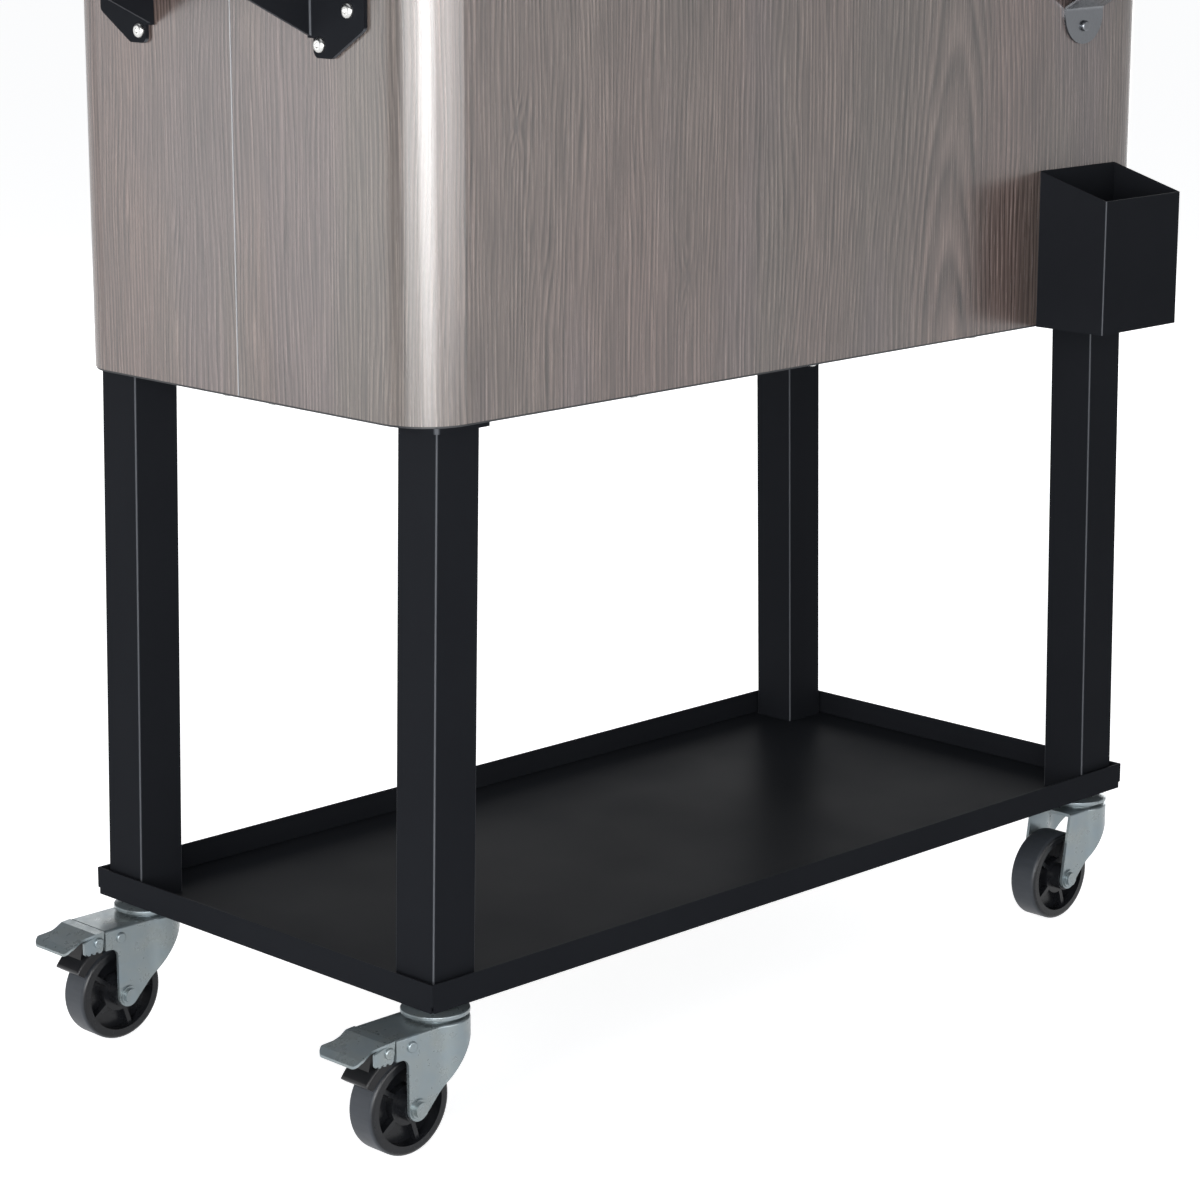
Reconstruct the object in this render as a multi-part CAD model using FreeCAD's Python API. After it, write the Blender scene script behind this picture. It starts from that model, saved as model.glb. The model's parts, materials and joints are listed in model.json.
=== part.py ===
import FreeCAD, Part
import math
import os

from FreeCAD import Vector

# Patio cooler cart: an insulated tub with two lids on a four-legged stand with a shelf and swivel casters.
# Millimetres, +Z up, floor at z = 0. The model is drawn about the middle of the body, front towards -Y,
# and moved on saving so that its origin is the middle of the underside of the overall box.

# Clearances
fit_gap = 0.2
running_gap = 0.06
moving_gap = 0.3

# Body
body_length = 801.0
body_width = 386.0
body_height = 400.0
body_corner_radius = 40.0
wrap_sheet = 1.0
wrap_hem = 18.0
seam_gap = 0.8
base_sheet = 1.5
base_edge_inset = 0.8
foam_wall = 30.0
foam_floor = 38.0

# Liner tub
liner_wall = 2.5
liner_draft = 10.0
liner_corner_radius = 32.0
liner_floor_radius = 16.0
liner_flange = 2.0
liner_flange_inset = 4.0

# Top rim and centre beam
rim_overhang = 2.0
rim_thickness = 8.0
rim_skirt = 12.0
rim_edge_radius = 2.5
rim_mouth_gap = 1.0
beam_width = 96.0
beam_depth = 22.0
beam_wall = 2.5
beam_tab = 14.0

# Lids
lid_split = 34.0
lid_thickness = 22.0
lid_lift = 3.0
lid_sheet = 1.0
lid_edge_radius = 4.0
lid_inner_corner_radius = 6.0
lid_panel = 2.5
lid_plug = 5.0
lid_plug_inset = 46.0
lid_plug_hinge_inset = 28.0
lid_plug_radius = 24.0
gasket_inset = 22.0
gasket_hinge_inset = 7.0
gasket_width = 6.0
gasket_radius = 20.0

# Lid hinges
hinge_axis_x = 26.0
hinge_axis_rise = 7.0
hinge_y = 105.0
hinge_pin_radius = 3.0
hinge_pin_overhang = 2.0
barrel_radius = 5.0
barrel_length = 30.0
ear_thickness = 3.0
leaf_thickness = 2.0
leaf_edge = 3.0

# Lid pulls
pull_span = 110.0
pull_reach = 32.0
pull_rod_radius = 4.0
pull_bend_radius = 12.0
pull_collar_radius = 8.0
pull_collar = 2.0

# Legs and shelf tray
leg_size = 40.0
leg_wall = 1.5
leg_corner_radius = 1.8
leg_length = 410.0
leg_inset_x = 6.0
leg_inset_y = 6.0
leg_splay = 8.8
leg_plate = 4.0
leg_plate_reach = 9.5
leg_plate_lip = 2.5
leg_plate_radius = 5.0
leg_foot_block = 12.0
tray_end_inset = 4.5
tray_side_inset = 2.0
tray_rim_height = 21.0
tray_sheet = 1.5
tray_relief = 2.0
tray_relief_height = 5.0
leg_seat_margin = 0.5

# End handles
handle_drop = 95.0
handle_reach = 62.0
handle_half_span = 88.0
handle_bar_radius = 13.5
handle_bar_wall = 2.0
bracket_sheet = 3.0
bracket_flange_width = 54.5
bracket_flange_half_height = 62.0
bracket_tip_width = 18.0
bracket_slant = 21.0
bracket_relief = 3.0
bracket_arm_half_height = 49.0
bracket_arm_end_radius = 16.0
bracket_corner_radius = 5.0
bracket_bend_radius = 2.0
bracket_inner_bolt_out = 9.8
bracket_inner_bolt_rise = 53.3
bracket_outer_bolt_out = 38.8
bracket_outer_bolt_rise = 29.2

# Bottle opener and cap catcher, one above the other on the front
opener_inset = 94.5
opener_width = 48.0
opener_sheet = 2.0
opener_bottom_rise = 221.0
opener_screw_rise = 14.0
opener_tab = 28.0
opener_bridge = 30.0
opener_reach = 19.0
opener_mouth_width = 30.0
opener_mouth_height = 13.0
opener_bend_radius = 3.0
opener_top_radius = 16.0
catcher_width = 97.0
catcher_depth = 66.0
catcher_front_height = 105.0
catcher_back_height = 124.0
catcher_sheet = 1.2
catcher_bend_radius = 1.5
catcher_screw_spread = 25.0
catcher_screw_drop = 50.0

# Fasteners: button-head bolts for the handles, pan-head screws elsewhere
bolt_radius = 3.0
bolt_length = 14.0
bolt_head_radius = 5.3
bolt_head_height = 3.2
bolt_socket_radius = 2.0
bolt_socket_depth = 1.8
head_dome_share = 0.8
screw_radius = 2.3
screw_length = 10.0
screw_head_radius = 4.3
screw_head_height = 2.6
base_screw_inset = 11.0
base_screw_seam_offset = 25.0
base_screw_side_spacing = 190.0

# Drain through the tub floor and the base
drain_x = 250.0
drain_y = 95.0
drain_bore_radius = 9.0
drain_pipe_radius = 13.0
drain_flange_radius = 22.0
drain_flange = 3.0
drain_seal = 2.0
drain_drop = 30.0
drain_nut_flats = 36.0
drain_nut_height = 8.0
drain_cap_radius = 17.0
drain_cap_height = 18.0
drain_cap_wall = 2.5
drain_cap_grips = 12
drain_cap_grip_radius = 1.6

# Casters
caster_height = 105.5
wheel_radius = 37.0
wheel_width = 25.0
wheel_edge_radius = 3.5
wheel_rim = 7.5
wheel_hub_radius = 10.5
wheel_ring_radius = 15.0
wheel_hub_gap = 0.5
wheel_web = 6.0
wheel_spokes = 5
wheel_spoke_thickness = 3.5
wheel_spoke_setback = 3.0
axle_radius = 4.0
axle_trail = 35.5
axle_head_radius = 7.5
axle_head_flange = 1.5
axle_dome_radius = 5.5
axle_dome = 2.2
axle_nut_flats = 13.0
axle_nut_height = 6.0
fork_sheet = 2.5
fork_inner_width = 38.0
fork_crown_radius = 25.0
fork_fairing_radius = 20.0
fork_end_radius = 9.0
fork_front_drop = 9.0
fork_knee_ahead = 16.0
fork_knee_drop = 16.0
fork_knee_radius = 15.0
fork_crown_edge_radius = 1.8
fork_boss = 1.5
fork_boss_radius = 19.0
stem_radius = 5.0
stem_collar_flats = 17.0
stem_collar = 4.5
stem_engagement = 10.0
kingpin_radius = 6.0
kingpin_head_radius = 10.0
kingpin_head = 3.0
race_radius = 25.0
race_height = 5.7
race_sheet = 2.0
race_lip = 3.5
race_edge_radius = 2.4
race_shoulder_radius = 19.0
race_slope = 2.4
race_gap = 0.8
ball_track_radius = 14.0

# Brakes on the left casters
brake_travel = 6.0
brake_pin_radius = 2.5
brake_pin_behind_axle = 6.0
brake_pin_drop = 8.4
brake_arch_drop = 16.0
brake_arch_radius = 7.0
brake_tail = 56.0
pedal_gap = 1.0
pedal_sheet = 2.0
pedal_tip_trail = 92.5
pedal_level_length = 8.0
pedal_level_fall = 0.5
pedal_slope_fall = 4.0
pedal_roll_length = 4.5
pedal_roll_fall = 4.0
pedal_shelf_length = 8.0
pedal_shelf_fall = 2.0
pedal_arm_radius = 5.0
pedal_neck_width = 35.0
pedal_tip_width = 43.0
pedal_corner_radius = 6.0
pedal_neck_radius = 10.0
pedal_flange_drop = 16.0
pedal_flange_length = 19.0
pedal_flange_radius = 3.0
pedal_tooth_radius = 1.5
pedal_teeth = 3
shoe_contact_gap = 0.4
shoe_thickness = 8.0
shoe_width = 28.0
shoe_edge_radius = 2.5
shoe_neck_width = 18.0
shoe_low_angle = 28.0
shoe_high_angle = 64.0
shoe_rivet_trail = 62.5
shoe_rivet_drop = 7.7
shoe_lug_radius = 5.0
shoe_rivet_radius = 2.5
rivet_head_radius = 4.2
rivet_head = 1.6

# Levels and places that follow from the sizes above
shelf_level = caster_height + tray_sheet
body_bottom = shelf_level + leg_length
wrap_bottom = body_bottom + base_sheet
wrap_top = body_bottom + body_height
flange_top = wrap_top + liner_flange
rim_top = flange_top + rim_thickness
lid_bottom = rim_top + lid_lift
lid_top = lid_bottom + lid_thickness
hinge_axis_z = rim_top + hinge_axis_rise
half_length = body_length / 2
half_width = body_width / 2
opener_x = half_length - opener_inset
tray_length = body_length - 2 * tray_end_inset
tray_width = body_width - 2 * tray_side_inset
foot_x = tray_length / 2 - leg_inset_x - leg_size / 2
leg_x = foot_x - leg_splay
leg_y = tray_width / 2 - leg_inset_y - leg_size / 2
foam_bottom = wrap_bottom + wrap_sheet
liner_bottom = foam_bottom + foam_floor
liner_floor = liner_bottom + liner_wall
handle_z = wrap_top - handle_drop
opener_z = body_bottom + opener_bottom_rise
crown_top = caster_height - stem_collar - race_height - race_gap - fork_boss
crown_bottom = crown_top - fork_sheet
fork_half_inner = fork_inner_width / 2
fork_half_outer = fork_half_inner + fork_sheet
brake_pin_trail = axle_trail + brake_pin_behind_axle
brake_pin_z = crown_top - brake_pin_drop
wheel_hub_width = fork_inner_width - 2 * wheel_hub_gap
origin_shift = Vector(0, (catcher_depth - rim_overhang) / 2, 0)

X = Vector(1, 0, 0)
Y = Vector(0, 1, 0)
Z = Vector(0, 0, 1)


# Drawing helpers

def in_xy(z):
    return lambda u, v: Vector(u, v, z)


def in_xz(y):
    return lambda u, v: Vector(u, y, v)


def in_yz(x):
    return lambda u, v: Vector(x, u, v)


def behind(y):
    """Plane of a caster's side view: u runs back from the swivel axis, towards -X."""
    return lambda u, v: Vector(-u, y, v)


def outline(corners, place):
    """Closed wire through (u, v, radius) corners, each rounded by a tangent arc."""
    entries, middles, exits = [], [], []
    for index, (u, v, radius) in enumerate(corners):
        corner = Vector(u, v, 0)
        before = Vector(*corners[index - 1][:2], 0) - corner
        after = Vector(*corners[(index + 1) % len(corners)][:2], 0) - corner
        before.normalize()
        after.normalize()
        half_angle = before.getAngle(after) / 2
        setback = radius / math.tan(half_angle)
        entries.append(corner + before * setback)
        exits.append(corner + after * setback)
        bisector = before + after
        if radius:
            bisector.normalize()
            middles.append(corner + bisector * (radius / math.sin(half_angle) - radius))
        else:
            middles.append(None)
    edges = []
    for index, middle in enumerate(middles):
        start = exits[index - 1]
        end = entries[index]
        if start.distanceToPoint(end) > 1e-6:
            edges.append(Part.LineSegment(place(start.x, start.y), place(end.x, end.y)).toShape())
        if middle:
            points = [place(point.x, point.y) for point in (end, middle, exits[index])]
            edges.append(Part.Arc(*points).toShape())
    return Part.Wire(edges)


def prism(corners, place, direction):
    return Part.Face(outline(corners, place)).extrude(direction)


def rectangle(x0, x1, y0, y1, radius):
    return [(x0, y0, radius), (x1, y0, radius), (x1, y1, radius), (x0, y1, radius)]


def slab(x0, x1, y0, y1, z0, z1, radius=0):
    return prism(rectangle(x0, x1, y0, y1, radius), in_xy(z0), Z * (z1 - z0))


def centred_slab(length, width, radius, z0, z1):
    return slab(-length / 2, length / 2, -width / 2, width / 2, z0, z1, radius)


def body_slab(inset, z0, z1):
    """Block of the body's own outline, set in from its sides, or grown when the inset is negative."""
    return centred_slab(body_length - 2 * inset, body_width - 2 * inset, body_corner_radius - inset, z0, z1)


def rod(radius, start, end):
    return Part.makeCylinder(radius, start.distanceToPoint(end), start, end - start)


def hexagon(flats, start, height, direction):
    """Hexagonal block across the given flats, standing on its start point."""
    radius = flats / math.sqrt(3)
    points = [Vector(radius * math.cos(math.radians(a)), radius * math.sin(math.radians(a)), 0)
              for a in range(0, 361, 60)]
    block = Part.Face(Part.makePolygon(points)).extrude(Z * height)
    block.Placement = FreeCAD.Placement(start, FreeCAD.Rotation(Z, direction))
    return block


def revolved(corners):
    """Ring about the Z axis from a rounded section of (radius, z, corner radius)."""
    return Part.Face(outline(corners, in_xz(0))).revolve(Vector(0, 0, 0), Z, 360)


def cut_all(shape, tools):
    return shape.cut(list(tools)) if tools else shape


def fuse_all(shapes):
    first, *others = shapes
    return first.fuse(others).removeSplitter() if others else first


def mirrored_x(shape):
    return shape.mirror(Vector(0, 0, 0), X)


def mirrored_y(shape):
    return shape.mirror(Vector(0, 0, 0), Y)


def edges_at(shape, level):
    """Edges that lie flat at one height."""
    return [edge for edge in shape.Edges
            if abs(edge.BoundBox.ZMin - level) < 1e-4 and abs(edge.BoundBox.ZMax - level) < 1e-4]


def save(name, *shapes):
    shape = shapes[0] if len(shapes) == 1 else Part.makeCompound(shapes)
    shape.translated(origin_shift).exportStep(f"parts/{name}.step")


# Fasteners, drawn from the seat of the head along the way they go in

def button_bolt(seat, direction):
    head = rod(bolt_head_radius, seat, seat - direction * bolt_head_height)
    top = [edge for edge in head.Edges if edge.CenterOfMass.distanceToPoint(seat) > bolt_head_height / 2
           and edge.Closed]
    head = head.makeFillet(bolt_head_height * head_dome_share, top)
    socket = hexagon(bolt_socket_radius * math.sqrt(3), seat - direction * bolt_head_height,
                     bolt_socket_depth, direction)
    shank = rod(bolt_radius, seat, seat + direction * bolt_length)
    return head.cut(socket).fuse(shank).removeSplitter()


def pan_screw(seat, direction):
    head = rod(screw_head_radius, seat, seat - direction * screw_head_height)
    top = [edge for edge in head.Edges if edge.CenterOfMass.distanceToPoint(seat) > screw_head_height / 2
           and edge.Closed]
    head = head.makeFillet(screw_head_height / 2, top)
    return head.fuse(rod(screw_radius, seat, seat + direction * screw_length)).removeSplitter()


def bolt_hole(seat, direction):
    return rod(bolt_radius + fit_gap, seat, seat + direction * (bolt_length + fit_gap))


def screw_hole(seat, direction):
    return rod(screw_radius + fit_gap, seat, seat + direction * (screw_length + fit_gap))


# Where the fasteners sit, as (seat, direction) pairs

def handle_bolt_places():
    places = []
    for side in (-1, 1):
        for end in (-1, 1):
            for out, rise in ((bracket_inner_bolt_out, bracket_inner_bolt_rise),
                              (bracket_outer_bolt_out, bracket_outer_bolt_rise)):
                for up in (-1, 1):
                    seat = Vector(side * (half_length + bracket_sheet), end * (handle_half_span + out),
                                  handle_z + up * rise)
                    places.append((seat, X * -side))
    return places


def bar_bolt_places():
    places = []
    for side in (-1, 1):
        for end in (-1, 1):
            seat = Vector(side * (half_length + handle_reach), end * handle_half_span, handle_z)
            places.append((seat, Y * -end))
    return places


def leg_screw_places():
    places = []
    reach = leg_size / 2 + leg_plate_reach / 2
    for side in (-1, 1):
        for end in (-1, 1):
            for in_x, in_y in ((reach, 0), (0, reach), (reach, reach)):
                seat = Vector(side * (leg_x - in_x), end * (leg_y - in_y), body_bottom - leg_plate)
                places.append((seat, Z))
    return places


def base_screw_places():
    places = []
    end_x = half_length - base_screw_inset
    side_y = half_width - base_screw_inset
    for side in (-1, 1):
        for end in (-1, 1):
            places.append((Vector(side * end_x, end * base_screw_seam_offset, body_bottom), Z))
        for step in (-1, 0, 1):
            places.append((Vector(step * base_screw_side_spacing, side * side_y, body_bottom), Z))
    return places


def catcher_screw_places():
    height = body_bottom + catcher_back_height - catcher_screw_drop
    return [(Vector(opener_x + side * catcher_screw_spread, -half_width - catcher_sheet, height), Y)
            for side in (-1, 1)]


def opener_screw_places():
    height = 2 * opener_tab + opener_bridge
    return [(Vector(opener_x, -half_width - opener_sheet, opener_z + rise), Y)
            for rise in (opener_screw_rise, height - opener_screw_rise)]


# Body

def liner_block(offset, z0, z1, floor_radius):
    """Tapered block of the tub, grown by an offset, with its bottom edge rounded."""
    wires = []
    for z in (z0, z1):
        taper = liner_draft * (wrap_top - z) / (wrap_top - liner_bottom)
        inset = wrap_sheet + foam_wall + taper - offset
        corners = rectangle(-half_length + inset, half_length - inset, -half_width + inset, half_width - inset,
                            liner_corner_radius + offset)
        wires.append(outline(corners, in_xy(z)))
    block = Part.makeLoft(wires, True, True)
    return block.makeFillet(floor_radius, edges_at(block, z0))


def mouth_half_sizes():
    """Half length and half width of the rim's opening."""
    inset = wrap_sheet + foam_wall + liner_wall - rim_mouth_gap
    return half_length - inset, half_width - inset


def drain_hole(radius):
    axis = Vector(drain_x, drain_y, 0)
    return rod(radius, axis + Z * (body_bottom - drain_drop), axis + Z * (liner_floor + drain_flange))


def build_body():
    front_holes = [screw_hole(*place) for place in catcher_screw_places() + opener_screw_places()]
    handle_holes = [bolt_hole(*place) for place in handle_bolt_places()]
    base_holes = [screw_hole(*place) for place in base_screw_places()]
    leg_holes = [screw_hole(*place) for place in leg_screw_places()]

    wrap = body_slab(0, wrap_bottom, wrap_top)
    wrap = wrap.cut([body_slab(wrap_sheet, wrap_bottom + wrap_sheet, wrap_top),
                     body_slab(wrap_hem, wrap_bottom, wrap_bottom + wrap_sheet)])
    wrap = cut_all(wrap, front_holes + handle_holes + base_holes)
    half = slab(-half_length, half_length, -half_width, -seam_gap / 2, wrap_bottom, wrap_top)
    save("front_wrap_panel", wrap.common(half))
    save("rear_wrap_panel", wrap.common(mirrored_y(half)))

    base = body_slab(base_edge_inset, body_bottom, wrap_bottom)
    base = cut_all(base, base_holes + leg_holes + [drain_hole(drain_pipe_radius + fit_gap)])
    save("base_panel", base)
    save("base_screws", *[pan_screw(*place) for place in base_screw_places()])

    foam = body_slab(wrap_sheet + fit_gap, foam_bottom, wrap_top)
    foam = foam.cut(liner_block(fit_gap, liner_bottom - fit_gap, wrap_top, liner_floor_radius))
    foam = cut_all(foam, front_holes + handle_holes + base_holes + leg_holes)
    save("insulation_foam", foam.cut(drain_hole(drain_pipe_radius + fit_gap)))

    flange = body_slab(liner_flange_inset, wrap_top, flange_top)
    liner = liner_block(0, liner_bottom, wrap_top, liner_floor_radius).fuse(flange)
    liner = liner.cut(liner_block(-liner_wall, liner_floor, flange_top, liner_floor_radius - liner_wall))
    save("inner_liner", liner.cut(drain_hole(drain_pipe_radius + fit_gap)))


def build_rim_and_beam():
    mouth_x, mouth_y = mouth_half_sizes()
    mouth_radius = liner_corner_radius - liner_wall + rim_mouth_gap
    rim = body_slab(-rim_overhang, wrap_top - rim_skirt, rim_top)
    rim = rim.makeFillet(rim_edge_radius, edges_at(rim, rim_top))
    tab_reach = mouth_y + beam_tab
    tab = slab(-beam_width / 2, beam_width / 2, -tab_reach, tab_reach, flange_top, rim_top)
    notch = slab(-beam_width / 2 - fit_gap, beam_width / 2 + fit_gap, -tab_reach - fit_gap, tab_reach + fit_gap,
                 flange_top, rim_top)
    rim = rim.cut([body_slab(-moving_gap, wrap_top - rim_skirt, flange_top),
                   centred_slab(2 * mouth_x, 2 * mouth_y, mouth_radius, flange_top, rim_top), notch])
    save("top_rim", rim)

    beam_half = mouth_y - liner_wall - fit_gap
    low = rim_top - beam_depth
    beam = slab(-beam_width / 2, beam_width / 2, -beam_half, beam_half, low, rim_top)
    hollow = slab(-beam_width / 2 + beam_wall, beam_width / 2 - beam_wall, -beam_half + beam_wall,
                  beam_half - beam_wall, low, rim_top - beam_wall)
    beam = fuse_all([beam.cut(hollow), tab.cut(hollow)] + hinge_ears())
    holes = [rod(hinge_pin_radius + running_gap, *pin_ends(side, end)) for side in (-1, 1) for end in (-1, 1)]
    save("centre_beam", cut_all(beam, holes))
    save("hinge_pins", *[rod(hinge_pin_radius, *pin_ends(side, end)) for side in (-1, 1) for end in (-1, 1)])


def pin_ends(side, end):
    half = barrel_length / 2 + moving_gap + ear_thickness + hinge_pin_overhang
    middle = Vector(side * hinge_axis_x, end * hinge_y, hinge_axis_z)
    return middle - Y * half, middle + Y * half


def hinge_ears():
    """Pairs of ears on the beam that carry the lids' pins."""
    ears = []
    top = hinge_axis_z + barrel_radius
    for side in (-1, 1):
        low_x = side * hinge_axis_x - barrel_radius
        high_x = side * hinge_axis_x + barrel_radius
        corners = [(low_x, rim_top, 0), (high_x, rim_top, 0),
                   (high_x, top, barrel_radius), (low_x, top, barrel_radius)]
        for end in (-1, 1):
            for outer in (-1, 1):
                near = end * hinge_y + outer * (barrel_length / 2 + moving_gap)
                ears.append(prism(corners, in_xz(near), Y * (outer * ear_thickness)))
    return ears


# Lids, drawn on the right and mirrored for the left

def lid_slab(inset, z0, z1):
    """Block of the lid's outline, square-cornered at the hinge and rounded as the body is at the outer end."""
    x0 = lid_split + inset
    x1 = half_length + rim_overhang - inset
    y1 = half_width + rim_overhang - inset
    outer = body_corner_radius + rim_overhang - inset
    inner = lid_inner_corner_radius - inset
    corners = [(x0, -y1, inner), (x1, -y1, outer), (x1, y1, outer), (x0, y1, inner)]
    return prism(corners, in_xy(z0), Z * (z1 - z0))


def build_lid():
    """Right-hand lid as a dictionary of its pieces."""
    end_x = half_length + rim_overhang
    end_y = half_width + rim_overhang
    skin = lid_slab(0, lid_bottom, lid_top)
    skin = skin.makeFillet(lid_edge_radius, edges_at(skin, lid_top))
    pocket = lid_slab(lid_sheet, lid_bottom, lid_top - lid_sheet)
    pocket = pocket.makeFillet(lid_edge_radius - lid_sheet, edges_at(pocket, lid_top - lid_sheet))

    panel_top = lid_bottom + lid_panel
    panel = lid_slab(lid_sheet + fit_gap, lid_bottom, panel_top)
    plug = slab(lid_split + lid_plug_hinge_inset, end_x - lid_plug_inset, -end_y + lid_plug_inset,
                end_y - lid_plug_inset, lid_bottom - lid_plug, lid_bottom, lid_plug_radius)

    core = lid_slab(lid_sheet + fit_gap, panel_top, lid_top - lid_sheet - fit_gap)
    core = core.makeFillet(lid_edge_radius - lid_sheet, edges_at(core, lid_top - lid_sheet - fit_gap))

    seal = [slab(lid_split + gasket_hinge_inset + inset, end_x - gasket_inset - inset,
                 -end_y + gasket_inset + inset, end_y - gasket_inset - inset,
                 rim_top + moving_gap, lid_bottom, gasket_radius - inset)
            for inset in (0, gasket_width)]
    return {"skin": skin.cut(pocket), "panel": panel.fuse(plug).removeSplitter(), "foam": core,
            "gasket": seal[0].cut(seal[1]), "pull": lid_pull(end_x),
            "hinge_leaves": Part.makeCompound(lid_leaves())}


def lid_pull(end_x):
    """Rod bent into a D on the lid's outer end, with a collar at each foot."""
    height = (lid_bottom + lid_top) / 2
    half = pull_span / 2
    tip_x = end_x + pull_reach - pull_rod_radius
    bend = pull_bend_radius
    slant = bend * (1 - math.sqrt(0.5))
    foot, far_foot = Vector(end_x, -half, height), Vector(end_x, half, height)
    corners = []
    for end in (-1, 1):
        corners.append((Vector(tip_x - bend, end * half, height),
                        Vector(tip_x - slant, end * (half - slant), height),
                        Vector(tip_x, end * (half - bend), height)))
    near, far = corners
    path = Part.Wire([Part.LineSegment(foot, near[0]).toShape(), Part.Arc(*near).toShape(),
                      Part.LineSegment(near[2], far[2]).toShape(), Part.Arc(*reversed(far)).toShape(),
                      Part.LineSegment(far[0], far_foot).toShape()])
    section = Part.Wire([Part.makeCircle(pull_rod_radius, foot, X)])
    bar = path.makePipeShell([section], True, False)
    collars = [rod(pull_collar_radius, point, point + X * pull_collar) for point in (foot, far_foot)]
    return fuse_all([bar] + collars)


def lid_leaves():
    """Hinge leaves: a plate on the lid's inner end and a barrel round the pin."""
    leaves = []
    for end in (-1, 1):
        start = Vector(hinge_axis_x, end * hinge_y - barrel_length / 2, hinge_axis_z)
        finish = start + Y * barrel_length
        plate = slab(lid_split - leaf_thickness, lid_split, start.y, finish.y,
                     lid_bottom + leaf_edge, lid_top - lid_edge_radius - leaf_edge)
        web = slab(hinge_axis_x, lid_split - leaf_thickness, start.y, finish.y,
                   hinge_axis_z - leaf_thickness, hinge_axis_z + leaf_thickness)
        leaf = fuse_all([rod(barrel_radius, start, finish), web, plate])
        leaves.append(leaf.cut(rod(hinge_pin_radius + running_gap, start, finish)))
    return leaves


def build_lids():
    for piece, shape in build_lid().items():
        save(f"right_lid_{piece}", shape)
        save(f"left_lid_{piece}", mirrored_x(shape))


# Stand

def leg_prism(side, end, inset, z0, z1):
    """Length of the leg's square section, which leans so that its foot stands further out than its top."""
    def centre_x(z):
        return side * (leg_x + leg_splay * (body_bottom - leg_plate - z) / (leg_length - leg_plate))

    half = leg_size / 2 - inset
    middle_y = end * leg_y
    section = rectangle(centre_x(z0) - half, centre_x(z0) + half, middle_y - half, middle_y + half,
                        max(leg_corner_radius - inset, 0))
    return prism(section, in_xy(z0), Vector(centre_x(z1) - centre_x(z0), 0, z1 - z0))


def build_leg(side, end):
    """Square tube with a plate welded on top and a threaded block in its foot."""
    plate_bottom = body_bottom - leg_plate
    tube = leg_prism(side, end, 0, shelf_level, plate_bottom)
    bore = leg_prism(side, end, leg_wall, shelf_level + leg_foot_block, plate_bottom)
    reach = leg_size / 2 + leg_plate_reach
    lip = leg_size / 2 + leg_plate_lip
    x0, x1 = sorted((side * (leg_x - reach), side * (leg_x + lip)))
    y0, y1 = sorted((end * (leg_y - reach), end * (leg_y + lip)))
    plate = slab(x0, x1, y0, y1, plate_bottom, body_bottom, leg_plate_radius)
    holes = [screw_hole(*place) for place in leg_screw_places()]
    foot = Vector(side * foot_x, end * leg_y, shelf_level)
    thread = rod(stem_radius + running_gap, foot, foot + Z * leg_foot_block)
    return fuse_all([tube.cut(bore), plate]).cut(holes + [thread])


def build_tray():
    """Folded pan whose corners have small relief cuts at the bottom."""
    top = caster_height + tray_rim_height
    tray = centred_slab(tray_length, tray_width, 0, caster_height, top)
    inside = centred_slab(tray_length - 2 * tray_sheet, tray_width - 2 * tray_sheet, 0, shelf_level, top)
    cuts = [inside]
    for side in (-1, 1):
        for end in (-1, 1):
            x0, x1 = sorted((side * tray_length / 2, side * (tray_length / 2 - tray_relief)))
            y0, y1 = sorted((end * tray_width / 2, end * (tray_width / 2 - tray_relief)))
            cuts.append(slab(x0, x1, y0, y1, caster_height, caster_height + tray_relief_height))
            foot = Vector(side * foot_x, end * leg_y, caster_height)
            cuts.append(rod(stem_radius + fit_gap, foot, foot + Z * tray_sheet))
    return with_leg_seats(tray.cut(cuts))


def with_leg_seats(tray):
    """The pan with the legs' seats marked off on its floor, so that the free shelf is a face of its own."""
    half = leg_size / 2 + leg_seat_margin
    seats = []
    for side in (-1, 1):
        for end in (-1, 1):
            x = side * foot_x
            y = end * leg_y
            seat = rectangle(x - half, x + half, y - half, y + half, leg_corner_radius)
            seats.append(Part.Face(outline(seat, in_xy(shelf_level))))
    return tray.generalFuse(seats)[0].Solids[0]


def build_stand():
    for side, left_right in ((-1, "left"), (1, "right")):
        for end, front_rear in ((-1, "front"), (1, "rear")):
            save(f"leg_{front_rear}_{left_right}", build_leg(side, end))
    save("leg_screws", *[pan_screw(*place) for place in leg_screw_places()])
    save("shelf_tray", build_tray())


# End handles

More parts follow.
